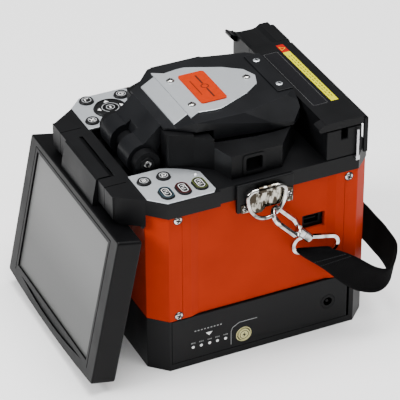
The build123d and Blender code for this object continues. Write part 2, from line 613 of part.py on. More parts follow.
def lid_piece(x_low, x_high, lip, lip_shape):
    """A stretch of the heater lid with its end lip and hinge knuckle."""
    with BuildPart() as piece:
        slab((x_low, x_high), (41, 67), (LID_LOW, LID_HIGH))
        block(at_x(lip[0]), lip_shape, lip[1] - lip[0])
        slab((x_low + 2, x_high - 2), (66, LID_AXIS[0]), (LID_LOW, LID_AXIS[1] + 2))
        rod(at_x(x_low + 2), LID_AXIS, 2.5, x_high - x_low - 4)
        rod(at_x(x_low), LID_AXIS, 1.06, x_high - x_low, Mode.SUBTRACT)
    return piece


heater_lid = lid_piece(LID_SPLIT_X + 0.2, HEATER_X, (58, HEATER_X), flat_lip)
with heater_lid:
    slab(WINDOW_X, WINDOW_Y, (LID_LOW - 1, LID_HIGH + 1), Mode.SUBTRACT)
save(heater_lid, "heater_lid")
heater_clamp_left = lid_piece(-HEATER_X, LID_SPLIT_X - 0.2, (-HEATER_X, -58), horn_lip)
with heater_clamp_left:
    block(at_x(-HEATER_X - 1), hand_dip, 30, Mode.SUBTRACT)
save(heater_clamp_left, "heater_clamp_left")

with BuildPart() as heater_window:
    slab(WINDOW_X, WINDOW_Y, (LID_HIGH - 2.2, LID_HIGH - 0.2))
save(heater_window, "heater_window")

with BuildPart() as lid_rod:
    rod(at_z(124), (REAR_DECK_X + 0.9, 62.5), 0.9, 20.5)
    slab((REAR_DECK_X, REAR_DECK_X + 1.8), (61.2, 63.8), (123, 126))
save(lid_rod, "lid_rod")

with BuildPart() as hinge_pins:
    rod(at_x(-PROW_FRONT_X), MONITOR_AXIS, 2.0, 2 * PROW_FRONT_X)
    rod(at_x(-28), COVER_AXIS, 2.0, 56)
    rod(at_x(-HEATER_X + 0.5), LID_AXIS, 1.0, 2 * HEATER_X - 1)
    # Two stand-offs carry the heater pin where the lid leaves it free.
    for x_low in (-HEATER_X, HEATER_X - 1.8):
        slab((x_low, x_low + 1.8), (LID_AXIS[0] - 1.3, LID_AXIS[0] + 1.3),
             (DECK_TOP, LID_AXIS[1] + 1.3))
save(hinge_pins, "hinge_pins")

# ---- battery ------------------------------------------------------------------------
with BuildPart() as battery_case:
    slab((BAY_END_X + 2, 63.8), (BATTERY_Y[0] + 1, BATTERY_Y[1] - 1), (5.3, 36.4))
    slab((BAY_END_X + 4, 61.8), (BATTERY_Y[0] + 3, BATTERY_Y[1] - 3), (7.3, 34.4), Mode.SUBTRACT)
    slab((63.6, BODY_HALF_X), BATTERY_Y, BATTERY_Z)
    rod(at_x(60), (-13.5, 13.1), 3.9 + GAP, 8, Mode.SUBTRACT)
    rod(at_x(60), (45.8, 20), 5.0, 8, Mode.SUBTRACT)
save(battery_case, "battery_case")

CELL_RADIUS = 9.2
with BuildPart() as battery_cells:
    for y in (-48, -29, -10, 9, 28, 46):
        rod(at_x(BAY_END_X + 5), (y, 20.8), CELL_RADIUS, 66)
save(battery_cells, "battery_cells")

with BuildPart() as dc_jack:
    rod(at_x(58), (45.8, 20), 4.9, BODY_HALF_X - 58)
    rod(at_x(59), (45.8, 20), 3.0, 10, Mode.SUBTRACT)
    rod(at_x(58), (45.8, 20), 1.0, 7)
save(dc_jack, "dc_jack")

with BuildPart() as battery_button:
    rod(at_x(62.2), (-13.5, 13.1), 3.9, BODY_HALF_X + 0.8 - 62.2)
save(battery_button, "battery_button")

# ---- side brackets and strap hardware -----------------------------------------------
RING_HALF = 12.8            # half width of the D-ring's centre line
RING_CORNER = 4.8           # radius of its shoulders
RING_BOW = 16.4             # depth of its bow below the shoulders
HOOK_TOP = (2.54, 104.6)           # Y, Z of the snap hook's upper end
HOOK_END = (24.8, 81.3)            # Y, Z where the swivel starts
HOOK_X = 73.4               # middle of the hook's upper end
HOOK_TILT = 35.0


def bracket(side):
    """Add a side bracket: a plate on the deck skirt and a pad on the recessed panel."""
    slab(sorted((side * REAR_DECK_X, side * 69.0)), (-20, 18), (106.3, DECK_TOP))
    slab(sorted((side * RECESS_X, side * REAR_DECK_X)), (-18, 16), (107, PANEL_TOP))


def saddle(side):
    """Add a pressed plate with a screw wing at each end and a clip round the ring's bar."""
    outline = [(-17.5, 106.2), (-12, 106.2), (-10, 104), (-3.5, 104), (-1, 106.8), (17.5, 106.8),
               (17.5, 116.5), (12, 118), (6, 122.6), (-7, 122.6), (-12, 118), (-13, 112), (-17.5, 112)]
    block(at_x(side * KEY_DECK_X), outline, side * 0.5)
    channel = Plane((side * RING_X, -7, RING_Z), z_dir=(0, 1, 0))
    rod(channel, (0, 0), RING_WIRE + 1.0, 13)
    slab(sorted((side * KEY_DECK_X, side * RING_X)), (-7, 6), (RING_Z - 1.8, RING_Z + 1.8))
    rod(channel.offset(-1), (0, 0), RING_WIRE + 0.08, 15, Mode.SUBTRACT)


def add_ring(side):
    """Add a D-ring: a straight bar, round shoulders and a bow that hangs from them."""
    x = side * RING_X
    straight = RING_HALF - RING_CORNER
    shoulder_z = RING_Z - RING_CORNER
    rod(Plane((x, RING_Y - straight, RING_Z), z_dir=(0, 1, 0)), (0, 0), RING_WIRE, 2 * straight)
    with BuildLine(at_x(x)) as bow:
        right = CenterArc((RING_Y + straight, shoulder_z), RING_CORNER, 0, 90)
        left = CenterArc((RING_Y - straight, shoulder_z), RING_CORNER, 90, 90)
        low = EllipticalCenterArc((RING_Y, shoulder_z), RING_HALF, RING_BOW, start_angle=180,
                                  arc_size=180)
    for edge in (right, left, low):
        with BuildSketch(Plane(edge @ 0, z_dir=edge % 0)) as wire:
            Circle(RING_WIRE)
        sweep(wire.sketch, path=edge)


def hook_plane(side):
    """Plane of the snap hook: X runs down the hook, Y across it."""
    down = Vector(0, HOOK_END[0] - HOOK_TOP[0], HOOK_END[1] - HOOK_TOP[1]).normalized()
    across = Vector(side, 0, 0).rotate(Axis((0, 0, 0), down), side * HOOK_TILT)
    return Plane((side * HOOK_X, *HOOK_TOP), x_dir=down, z_dir=down.cross(across))


with BuildPart() as strap_brackets:
    for side in (-1, 1):
        bracket(side)
save(strap_brackets, "strap_brackets")

with BuildPart() as ring_clamps:
    for side in (-1, 1):
        saddle(side)
save(ring_clamps, "ring_clamps")

HOOK_LENGTH = 28.1
HOOK_HALF = 5.6             # half width of the hook's centre line
HOOK_WIRE = 1.4
GATE_SPAN = (6.0, 23.2)     # stretch of the hook that the gate closes
GATE_WIDTH = 2.4
WIRE_CROSSING = (4.8, 102.3)      # Y, Z where the ring's wire passes through the hook
WIRE_DIRECTION = (0, 0.827, 0.562)
LOOP_CENTRE = (72.0, 27.34, 78.65)  # where the strap ring meets its swivel, right side
SWIVEL_RADIUS = 3.1
SWIVEL_PIN = 1.2
for suffix, side in (("left", -1), ("right", 1)):
    with BuildPart() as d_ring:
        add_ring(side)
    save(d_ring, f"d_ring_{suffix}")

    flat = hook_plane(side)
    lying = flat.offset(-HOOK_WIRE)
    with BuildPart() as snap_hook:
        with BuildSketch(lying) as oval:
            with Locations((HOOK_LENGTH / 2 - 1.5, 0)):
                SlotOverall(HOOK_LENGTH, 2 * HOOK_HALF + 2 * HOOK_WIRE)
                SlotOverall(HOOK_LENGTH - 4 * HOOK_WIRE, 2 * HOOK_HALF - 2 * HOOK_WIRE,
                            mode=Mode.SUBTRACT)
            with Locations(((GATE_SPAN[0] + GATE_SPAN[1]) / 2, HOOK_HALF)):
                Rectangle(GATE_SPAN[1] - GATE_SPAN[0], 4 * HOOK_WIRE - 2.4, mode=Mode.SUBTRACT)
        extrude(oval.sketch, amount=2 * HOOK_WIRE)
        chamfer(snap_hook.faces().sort_by(Axis(flat.origin, flat.z_dir))[-1].edges(), 0.35)
        chamfer(snap_hook.faces().sort_by(Axis(flat.origin, flat.z_dir))[0].edges(), 0.35)
        # Barrel with the swivel's bore, and the seat that rides on the ring's wire.
        barrel = Plane(flat.from_local_coords((HOOK_LENGTH - 3.2, 0, 0)), z_dir=flat.x_dir)
        rod(barrel, (0, 0), SWIVEL_RADIUS, 4.7)
        rod(barrel.offset(1), (0, 0), SWIVEL_PIN + 0.05, 4, Mode.SUBTRACT)
        seat = Plane((side * RING_X, *WIRE_CROSSING), z_dir=WIRE_DIRECTION).offset(-10)
        rod(seat, (0, 0), RING_WIRE + 0.6, 20, Mode.SUBTRACT)
    save(snap_hook, f"snap_hook_{suffix}")

    with BuildPart() as hook_gate:
        with BuildSketch(flat.offset(-1.1)) as bar:
            with Locations(((GATE_SPAN[0] + GATE_SPAN[1]) / 2, HOOK_HALF)):
                SlotOverall(GATE_SPAN[1] - GATE_SPAN[0] - 0.5, GATE_WIDTH)
        extrude(bar.sketch, amount=2.2)
    save(hook_gate, f"hook_gate_{suffix}")

    # Strap ring: a swivel block and a wide wire loop hanging in the strap's fold.
    with BuildPart() as strap_ring:
        swivel = Plane(flat.from_local_coords((HOOK_LENGTH - 1.6, 0, 0)), z_dir=flat.x_dir)
        rod(swivel, (0, 0), SWIVEL_PIN, 5)
        rod(swivel.offset(3.4), (0, 0), SWIVEL_RADIUS, 6)
        loop_plane = Plane((side * LOOP_CENTRE[0], *LOOP_CENTRE[1:]), x_dir=(0, 0.975, -0.22),
                           z_dir=(side, 0, 0))
        with BuildSketch(loop_plane.offset(-1.1)) as loop:
            lower = -5.5 if side > 0 else 5.5
            with Locations((6.5, lower)):
                RectangleRounded(33.6, 13.2, 6.3)
                RectangleRounded(29.2, 8.8, 4.2, mode=Mode.SUBTRACT)
        extrude(loop.sketch, amount=2.2)
    save(strap_ring, f"strap_ring_{suffix}")

# ---- carry strap --------------------------------------------------------------------
# A flat band: the plan gives its route round the back, the side view its rise and width.
STRAP_THICK = 2.4
STRAP_BEND = 10.0
strap_route = mirrored([(74.6, 21), (76, 36), (81, 54), (81, 70), (70, 88), (54, 92)])
strap_side = [(20, 69), (38, 53), (45, 45), (52, 38), (60.2, 38), (66, 29), (74, 23), (84, 21),
              (96, 26), (96, 57), (87, 54), (78, 47), (66, 52), (56, 60), (47, 67)]
with BuildPart() as carry_strap:
    with BuildSketch(at_z(10)) as band:
        with BuildLine():
            FilletPolyline(*strap_route, radius=STRAP_BEND)
            offset(amount=STRAP_THICK / 2)
        make_face()
    extrude(amount=90)
    block(at_x(-100), strap_side, 200, Mode.INTERSECT)
save(carry_strap, "carry_strap")
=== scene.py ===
"""Looks of the fiber fusion splicer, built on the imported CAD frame. All lengths are in metres."""
import json
import math

import bpy
import bmesh
from mathutils import Matrix, Vector
from mathutils.bvhtree import BVHTree


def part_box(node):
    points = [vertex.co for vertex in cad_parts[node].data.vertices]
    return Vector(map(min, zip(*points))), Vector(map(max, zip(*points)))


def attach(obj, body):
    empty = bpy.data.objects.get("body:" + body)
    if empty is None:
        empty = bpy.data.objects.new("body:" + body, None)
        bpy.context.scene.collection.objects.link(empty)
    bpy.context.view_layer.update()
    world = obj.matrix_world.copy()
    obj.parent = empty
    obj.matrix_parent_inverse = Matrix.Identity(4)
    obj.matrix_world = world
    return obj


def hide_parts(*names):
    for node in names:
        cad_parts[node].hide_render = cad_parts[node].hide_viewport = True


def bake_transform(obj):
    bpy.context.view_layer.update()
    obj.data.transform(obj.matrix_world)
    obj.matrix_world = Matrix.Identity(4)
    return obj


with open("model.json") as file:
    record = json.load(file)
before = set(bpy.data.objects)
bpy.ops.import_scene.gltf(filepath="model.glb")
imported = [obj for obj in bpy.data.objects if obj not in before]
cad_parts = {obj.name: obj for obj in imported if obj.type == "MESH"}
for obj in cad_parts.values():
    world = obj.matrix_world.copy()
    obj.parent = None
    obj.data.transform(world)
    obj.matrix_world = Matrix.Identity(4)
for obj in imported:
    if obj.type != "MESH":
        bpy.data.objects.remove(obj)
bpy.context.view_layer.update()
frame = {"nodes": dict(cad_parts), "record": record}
nodes = frame["nodes"]

MM = 0.001
ABOVE = 200.0                      # a height over the whole machine, in millimetres
OUTSIDE = 90.0                     # an X beyond its sides
DOWN = (0, 0, -1)
UP = (0, 0, 1)
RIGHT = (1, 0, 0)
SIDES = ((-1, "left"), (1, "right"))


# ---- shader helpers -----------------------------------------------------------------
PATTERN_LOW, PATTERN_HIGH = 0.3, 0.7   # the part of a 0..1 pattern that carries the change
def start_material(name, colour, rough, metallic=0.0, specular=0.5):
    """A Principled material with its constants set; returns it with its tree and shader."""
    mat = bpy.data.materials.new(name)
    mat.use_nodes = True
    tree = mat.node_tree
    shader = tree.nodes["Principled BSDF"]
    shader.inputs["Base Color"].default_value = (*colour, 1.0)
    shader.inputs["Roughness"].default_value = rough
    shader.inputs["Metallic"].default_value = metallic
    shader.inputs["Specular IOR Level"].default_value = specular
    mat.diffuse_color = (*colour, 1.0)
    return mat, tree, shader


def noise(tree, feature, detail=2.0, stretch=(1, 1, 1)):
    """Noise in object space whose features measure about feature metres."""
    coords = tree.nodes.new("ShaderNodeTexCoord")
    mapping = tree.nodes.new("ShaderNodeMapping")
    mapping.inputs["Scale"].default_value = stretch
    texture = tree.nodes.new("ShaderNodeTexNoise")
    texture.inputs["Scale"].default_value = 1.0 / feature
    texture.inputs["Detail"].default_value = detail
    tree.links.new(coords.outputs["Object"], mapping.inputs["Vector"])
    tree.links.new(mapping.outputs["Vector"], texture.inputs["Vector"])
    return texture.outputs["Fac"]


def grain(tree, feature):
    """Cell pattern of a moulded or cast leather-like grain."""
    coords = tree.nodes.new("ShaderNodeTexCoord")
    texture = tree.nodes.new("ShaderNodeTexVoronoi")
    texture.feature = "SMOOTH_F1"
    texture.inputs["Scale"].default_value = 1.0 / feature
    tree.links.new(coords.outputs["Object"], texture.inputs["Vector"])
    return texture.outputs["Distance"]


def span(tree, value, low, high, start=PATTERN_LOW, end=PATTERN_HIGH):
    """Map a 0..1 pattern to the numbers low..high."""
    node = tree.nodes.new("ShaderNodeMapRange")
    node.inputs["From Min"].default_value = start
    node.inputs["From Max"].default_value = end
    node.inputs["To Min"].default_value = low
    node.inputs["To Max"].default_value = high
    tree.links.new(value, node.inputs["Value"])
    return node.outputs["Result"]


def tint(tree, shader, value, dark, light):
    """Let a pattern mix two base colours."""
    ramp = tree.nodes.new("ShaderNodeValToRGB")
    ramp.color_ramp.elements[0].position = PATTERN_LOW
    ramp.color_ramp.elements[0].color = (*dark, 1.0)
    ramp.color_ramp.elements[1].position = PATTERN_HIGH
    ramp.color_ramp.elements[1].color = (*light, 1.0)
    tree.links.new(value, ramp.inputs["Fac"])
    tree.links.new(ramp.outputs["Color"], shader.inputs["Base Color"])


def emboss(tree, shader, value, strength, depth):
    """Turn a pattern into bump of the given depth."""
    node = tree.nodes.new("ShaderNodeBump")
    node.inputs["Strength"].default_value = strength
    node.inputs["Distance"].default_value = depth
    tree.links.new(value, node.inputs["Height"])
    tree.links.new(node.outputs["Normal"], shader.inputs["Normal"])


def shade(colour, factor):
    """The colour made lighter or darker."""
    return tuple(min(1.0, c * factor) for c in colour)


# ---- materials ----------------------------------------------------------------------
def painted(name, colour, rough, grain_size, depth):
    """Textured paint: fine grain, slow colour drift and uneven gloss."""
    mat, tree, shader = start_material(name, colour, rough, specular=0.03)
    slow = noise(tree, 0.03, 4.0)
    tint(tree, shader, slow, shade(colour, 0.92), shade(colour, 1.08))
    fine = noise(tree, grain_size, 3.0)
    tree.links.new(span(tree, fine, rough - 0.05, rough + 0.07), shader.inputs["Roughness"])
    emboss(tree, shader, fine, 0.35, depth)
    return mat


def cast(name, colour, rough, cell, specular=0.16):
    """Moulded plastic or cast metal with a leather-like grain."""
    mat, tree, shader = start_material(name, colour, rough, specular=specular)
    slow = noise(tree, 0.025, 3.0)
    tint(tree, shader, slow, shade(colour, 0.85), shade(colour, 1.2))
    cells = grain(tree, cell)
    tree.links.new(span(tree, slow, rough - 0.05, rough + 0.06), shader.inputs["Roughness"])
    emboss(tree, shader, cells, 0.3, 0.00006)
    return mat


def metal(name, colour, rough, stretch=(1, 1, 1), spread=0.06, feature=0.0012):
    """Bare metal with brushed streaks or fine blasting."""
    mat, tree, shader = start_material(name, colour, rough, 1.0)
    streaks = noise(tree, feature, 3.0, stretch)
    tint(tree, shader, streaks, shade(colour, 1 - spread), shade(colour, 1 + spread))
    tree.links.new(span(tree, streaks, rough * 0.85, rough * 1.2), shader.inputs["Roughness"])
    emboss(tree, shader, streaks, 0.12, 0.00002)
    return mat


def chrome(name):
    """Plated wire and screws: bright nickel with darker streaks of painted reflection in its
    colour.
    """
    mat, tree, shader = start_material(name, (0.6, 0.59, 0.57), 0.1, 1.0)
    streaks = noise(tree, 0.0022, 2.0, (1, 0.35, 0.35))
    # painted reflection: the base colour swings from near black to bright, standing in for dark and
    # light reflections
    tint(tree, shader, streaks, (0.12, 0.115, 0.105), (0.80, 0.79, 0.77))
    tree.links.new(span(tree, streaks, 0.06, 0.16), shader.inputs["Roughness"])
    emboss(tree, shader, streaks, 0.25, 0.0002)
    return mat


def pressed_chrome_painted_reflections(name):
    """Thin pressed and plated sheet: an uneven bumped surface, with dark patches of painted
    reflection in its colour.
    """
    mat, tree, shader = start_material(name, (0.5, 0.49, 0.46), 0.09, 1.0)
    dents_and_painted_reflections = noise(tree, 0.0035, 3.0, (1, 1, 0.45))
    painted_reflection_patches = span(tree, dents_and_painted_reflections, 0.0, 1.0, start=0.42, end=0.66)
    # painted reflection: near-black patches in the base colour stand in for dark reflections
    tint(tree, shader, painted_reflection_patches, (0.035, 0.028, 0.020), (0.42, 0.40, 0.35))
    tree.links.new(span(tree, dents_and_painted_reflections, 0.06, 0.16), shader.inputs["Roughness"])
    emboss(tree, shader, dents_and_painted_reflections, 0.4, 0.0005)
    return mat


def webbing(name):
    """Woven nylon webbing: crossed ribs along and across the band."""
    mat, tree, shader = start_material(name, (0.002, 0.002, 0.0022), 0.85, specular=0.03)
    coords = tree.nodes.new("ShaderNodeTexCoord")
    weave = tree.nodes.new("ShaderNodeTexBrick")
    weave.offset = 0.5
    weave.inputs["Scale"].default_value = 1.0
    weave.inputs["Brick Width"].default_value = 0.0018
    weave.inputs["Row Height"].default_value = 0.0011
    weave.inputs["Mortar Size"].default_value = 0.00018
    weave.inputs["Mortar Smooth"].default_value = 0.8
    weave.inputs["Color1"].default_value = (1, 1, 1, 1)
    weave.inputs["Color2"].default_value = (0.8, 0.8, 0.8, 1)
    weave.inputs["Mortar"].default_value = (0, 0, 0, 1)
    tree.links.new(coords.outputs["UV"], weave.inputs["Vector"])
    tint(tree, shader, weave.outputs["Color"], (0.0004, 0.0004, 0.0005), (0.0034, 0.0033, 0.0036))
    emboss(tree, shader, weave.outputs["Color"], 0.8, 0.0004)
    shader.inputs["Sheen Weight"].default_value = 0.01
    shader.inputs["Sheen Roughness"].default_value = 0.4
    return mat


def screen(name):
    """Switched-off LCD behind anti-glare glass: grey with painted shade that darkens it towards its
    lower edge.
    """
    mat, tree, shader = start_material(name, (0.08, 0.08, 0.08), 0.42, specular=0.3)
    coords = tree.nodes.new("ShaderNodeTexCoord")
    split = tree.nodes.new("ShaderNodeSeparateXYZ")
    tree.links.new(coords.outputs["Object"], split.inputs["Vector"])
    # painted shade: the base colour darkens towards the screen's lower edge
    height = span(tree, split.outputs["Z"], 0.0, 1.0, start=0.02, end=0.10)
    tint(tree, shader, height, (0.052, 0.053, 0.052), (0.094, 0.095, 0.094))
    fine = noise(tree, 0.0003, 1.0)
    tree.links.new(span(tree, fine, 0.38, 0.46), shader.inputs["Roughness"])
    emboss(tree, shader, fine, 0.05, 0.00001)
    return mat


def ink(name, colour, rough=0.5, specular=0.15):
    """Printed marking and small moulded trim; also the near-black painted shade put in recesses."""
    mat, tree, shader = start_material(name, colour, rough, specular=specular)
    slow = noise(tree, 0.002, 2.0)
    tint(tree, shader, slow, shade(colour, 0.92), shade(colour, 1.06))
    tree.links.new(span(tree, slow, rough - 0.05, rough + 0.05), shader.inputs["Roughness"])
    return mat


MATERIALS = {
    "black_cast": cast("black_cast", (0.0024, 0.0025, 0.0029), 0.45, 0.0006, specular=0.12),
    "black_deck": cast("black_deck", (0.0026, 0.0027, 0.0031), 0.45, 0.0005, specular=0.12),
    "orange_paint": painted("orange_paint", (0.340, 0.0205, 0.0036), 0.5, 0.0004, 0.00003),
    "chrome": chrome("chrome"),
    "chrome_plate": pressed_chrome_painted_reflections("chrome_plate"),
    "black_plastic": cast("black_plastic", (0.0022, 0.0022, 0.0025), 0.42, 0.0005, specular=0.1),
    "silver_trim": metal("silver_trim", (0.66, 0.69, 0.72), 0.45, spread=0.02, feature=0.0003),
    "machined": metal("machined", (0.55, 0.56, 0.58), 0.32, stretch=(0.05, 1, 1)),
    "brass": metal("brass", (0.75, 0.55, 0.24), 0.25),
    "board": painted("board", (0.015, 0.10, 0.05), 0.45, 0.0008, 0.00005),
    "steel": metal("steel", (0.48, 0.48, 0.5), 0.28, stretch=(0.05, 1, 1)),
    "webbing": webbing("webbing"),
    "screen": screen("screen"),
    "black_gloss": cast("black_gloss", (0.0050, 0.0053, 0.0062), 0.35, 0.0004),
    "orange_badge": ink("orange_badge", (0.34, 0.021, 0.0003), 0.55, 0.05),
    "window": ink("window", (0.006, 0.006, 0.007), 0.12),
    "button_yellow": ink("button_yellow", (0.55, 0.52, 0.24), 0.4),
    "key_black": cast("key_black", (0.0045, 0.0045, 0.005), 0.38, 0.0005),
    "key_blue": cast("key_blue", (0.0042, 0.005, 0.0056), 0.38, 0.0005),
    "key_red": cast("key_red", (0.0045, 0.0045, 0.005), 0.38, 0.0005),
    "key_green": cast("key_green", (0.0046, 0.0052, 0.0042), 0.38, 0.0005),
    "white_ink": ink("white_ink", (0.75, 0.75, 0.75)),
    "blue_ink": ink("blue_ink", (0.016, 0.042, 0.058)),
    "red_ink": ink("red_ink", (0.30, 0.004, 0.002), 0.6, 0.05),
    "green_ink": ink("green_ink", (0.065, 0.08, 0.012)),
    "dull_red": ink("dull_red", (0.055, 0.005, 0.005), 0.5, 0.1),
    "label_yellow": ink("label_yellow", (0.50, 0.47, 0.0001), 0.7, 0.0),
    # dark_recess is painted shade: near black, put in screw recesses and sockets and round screw
    # heads
    "dark_recess": ink("dark_recess", (0.004, 0.004, 0.004), 0.6),
    "ink_dark": ink("ink_dark", (0.012, 0.008, 0.006), 0.5),
    "key_line": ink("key_line", (0.42, 0.43, 0.44), 0.45),
    "window_line": ink("window_line", (0.07, 0.07, 0.07), 0.5),
    "print_grey": ink("print_grey", (0.30, 0.31, 0.31), 0.5),
    "thread": ink("thread", (0.02, 0.02, 0.022), 0.7),
}


# ---- finish of the CAD nodes --------------------------------------------------------
SHARP_ANGLE = math.radians(32.0)   # edges sharper than this are rounded


def soften(obj, width):
    """Round the hard edges of a shell so that they catch light."""
    weld = obj.modifiers.new("weld", "WELD")
    weld.merge_threshold = 0.00001
    bevel = obj.modifiers.new("bevel", "BEVEL")
    bevel.width = width
    bevel.segments = 2
    bevel.limit_method = "ANGLE"
    bevel.angle_limit = SHARP_ANGLE
    bevel.use_clamp_overlap = True
    bevel.harden_normals = False
    normals = obj.modifiers.new("normals", "WEIGHTED_NORMAL")
    normals.keep_sharp = True
    normals.weight = 60


EDGE_ROUNDING = {
    "base_tray": 0.9, "top_deck": 0.9, "splice_chamber": 0.7, "cover_shell": 0.8,
    "front_panel": 0.4, "rear_panel": 0.4, "right_side_panel": 0.4, "left_side_panel": 0.4,
    "heater_body": 0.5, "heater_lid": 0.5, "heater_clamp_left": 0.5, "cover_plate": 0.25,
    "cover_badge": 0.35, "latch_plate": 0.25, "battery_case": 0.5, "strap_brackets": 0.8,
    "ring_clamps": 0.2, "keypad_plates": 0.15, "monitor_neck": 0.5, "dc_jack": 0.25,
    "battery_button": 0.3, "snap_hook_right": 0.9, "snap_hook_left": 0.9,
    "strap_ring_right": 0.85, "strap_ring_left": 0.85, "hook_gate_right": 0.6,
    "hook_gate_left": 0.6, "alignment_base": 0.3, "v_grooves": 0.15,
}
slot_of = {part["node"]: part["material_slot"] for part in frame["record"]["subparts"]}
OWN_FINISH = {"ring_clamps": "chrome_plate", "lid_rod": "steel", "hinge_pins": "black_cast"}
for name, obj in nodes.items():
    obj.data.materials.clear()
    obj.data.materials.append(MATERIALS[OWN_FINISH.get(name, slot_of[name])])
    if name in EDGE_ROUNDING:
        soften(obj, EDGE_ROUNDING[name] * MM)


# ---- piece helpers ------------------------------------------------------------------
def surface(node, start, direction):
    """Point (mm) and outward normal where a straight line first meets a CAD node."""
    mesh = nodes[node].data
    tree = BVHTree.FromPolygons([v.co for v in mesh.vertices],
                                [tuple(p.vertices) for p in mesh.polygons])
    point, normal, _, _ = tree.ray_cast(Vector(start) * MM, Vector(direction))
    if normal.dot(Vector(direction)) > 0:
        normal = -normal
    return point / MM, normal


def placed(point, normal, up=(0, 1, 0)):
    """Frame at a point in millimetres: Z along the normal, Y close to up."""
    z = Vector(normal).normalized()
    x = Vector(up).cross(z).normalized()
    y = z.cross(x)
    turn = Matrix((x, y, z)).transposed().to_4x4()
    return Matrix.Translation(Vector(point) * MM) @ turn


def on_top(node, x, y):
    """Frame where a line down from (x, y) first meets a CAD node."""
    return placed(*surface(node, (x, y, ABOVE), DOWN))


def top_frame(node):
    """Frame on the middle of a CAD node's top face, and the size of the node's box."""
    low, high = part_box(node)
    centre = (low + high) / 2 / MM
    return placed((centre.x, centre.y, high.z / MM), UP), (high - low) / MM


def right_frame(node, x=None):
    """Frame on the middle of a CAD node's right face, or at another X: Y up, X to the rear."""
    low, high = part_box(node)
    centre = (low + high) / 2 / MM
    return placed((high.x / MM if x is None else x, centre.y, centre.z), RIGHT, up=UP)


def mesh_object(name, bm, material, smooth=False):
    """Object made from a mesh that is drawn in metres in the shared frame."""
    mesh = bpy.data.meshes.new(name)
    bm.to_mesh(mesh)
    bm.free()
    for polygon in mesh.polygons:
        polygon.use_smooth = smooth
    obj = bpy.data.objects.new(name, mesh)
    bpy.context.collection.objects.link(obj)
    obj.data.materials.append(MATERIALS[material])
    return obj


def finish_piece(name, bm, at, material, body, smooth=False):
    """Turn a mesh drawn in millimetres in a local frame into a piece on a CAD body."""
    bmesh.ops.transform(bm, matrix=at @ Matrix.Scale(MM, 4), verts=bm.verts)
    bmesh.ops.recalc_face_normals(bm, faces=bm.faces)
    obj = mesh_object(name, bm, material, smooth)
    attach(obj, body)
    return obj


def add_prism(bm, outline, low, high):
    """Straight-sided prism over an outline between two heights."""
    floor = [bm.verts.new((x, y, low)) for x, y in outline]
    roof = [bm.verts.new((x, y, high)) for x, y in outline]
    bm.faces.new(roof)
    bm.faces.new(floor[::-1])
    count = len(outline)
    for i in range(count):
        j = (i + 1) % count
        bm.faces.new((floor[i], floor[j], roof[j], roof[i]))


def add_stroke(bm, points, width, low, high, closed=False):
    """Band of even width that follows a line."""
    count = len(points)
    left, right = [], []
    for i, (x, y) in enumerate(points):
        before = points[i - 1] if (i or closed) else points[0]
        after = points[(i + 1) % count] if (i < count - 1 or closed) else points[-1]
        along = Vector((after[0] - before[0], after[1] - before[1])).normalized()
        side = Vector((-along.y, along.x)) * width / 2
        left.append((x + side.x, y + side.y))
        right.append((x - side.x, y - side.y))
    rows = []
    for (lx, ly), (rx, ry) in zip(left, right):
        rows.append([bm.verts.new(p) for p in ((lx, ly, low), (lx, ly, high),
                                               (rx, ry, high), (rx, ry, low))])
    last = count if closed else count - 1
    for i in range(last):
        a, b = rows[i], rows[(i + 1) % count]
        for k in range(4):
            bm.faces.new((a[k], b[k], b[(k + 1) % 4], a[(k + 1) % 4]))
    if not closed:
        bm.faces.new(rows[0])
        bm.faces.new(rows[-1][::-1])


def circle(radius, centre=(0, 0), start=0.0, end=360.0, count=36):
    """Points on a circle or on an arc of it."""
    full = abs(end - start - 360) < 1e-6
    steps = count if full else count - 1
    return [(centre[0] + radius * math.cos(math.radians(start + (end - start) * i / steps)),
             centre[1] + radius * math.sin(math.radians(start + (end - start) * i / steps)))
            for i in range(count)]


def rounded(width, height, radius, centre=(0, 0), per_corner=6):
    """Outline of a rounded rectangle."""
    points = []
    for sx, sy, start in ((1, 1, 0), (-1, 1, 90), (-1, -1, 180), (1, -1, 270)):
        cx = centre[0] + sx * (width / 2 - radius)
        cy = centre[1] + sy * (height / 2 - radius)
        points += circle(radius, (cx, cy), start, start + 90, per_corner)
    return points


def add_lathe(bm, profile, count):
    """Solid of revolution about Z from (radius, height) points, closed at both ends."""
    rings = []
    for radius, height in profile:
        if radius < 1e-6:
            rings.append([bm.verts.new((0, 0, height))])
            continue
        rings.append([bm.verts.new((radius * math.cos(2 * math.pi * i / count),
                                    radius * math.sin(2 * math.pi * i / count),
                                    height)) for i in range(count)])
    for low, high in zip(rings, rings[1:]):
        for i in range(count):
            j = (i + 1) % count
            face = [low[i % len(low)], low[j % len(low)],
                    high[j % len(high)], high[i % len(high)]]
            unique = [v for k, v in enumerate(face) if v not in face[:k]]
            if len(unique) > 2:
                bm.faces.new(unique)


def turned(name, at, profile, material, body, count=32):
    """Smooth turned piece on a CAD body."""
    bm = bmesh.new()
    add_lathe(bm, profile, count)
    return finish_piece(name, bm, at, material, body, smooth=True)


INK_LOW, INK_HIGH = -0.10, 0.06    # how deep a mark sits and how far it stands out, in mm


def print_and_shade_marks(name, at, shapes, material, body, low=INK_LOW, high=INK_HIGH):
    """Printed or inlaid marks, and marks of painted shade: each shape is (kind, points, width)."""
    bm = bmesh.new()
    for kind, points, width in shapes:
        if kind == "fill":
            add_prism(bm, points, low, high)
        else:
            add_stroke(bm, points, width, low, high, closed=kind == "loop")
    return finish_piece(name, bm, at, material, body)


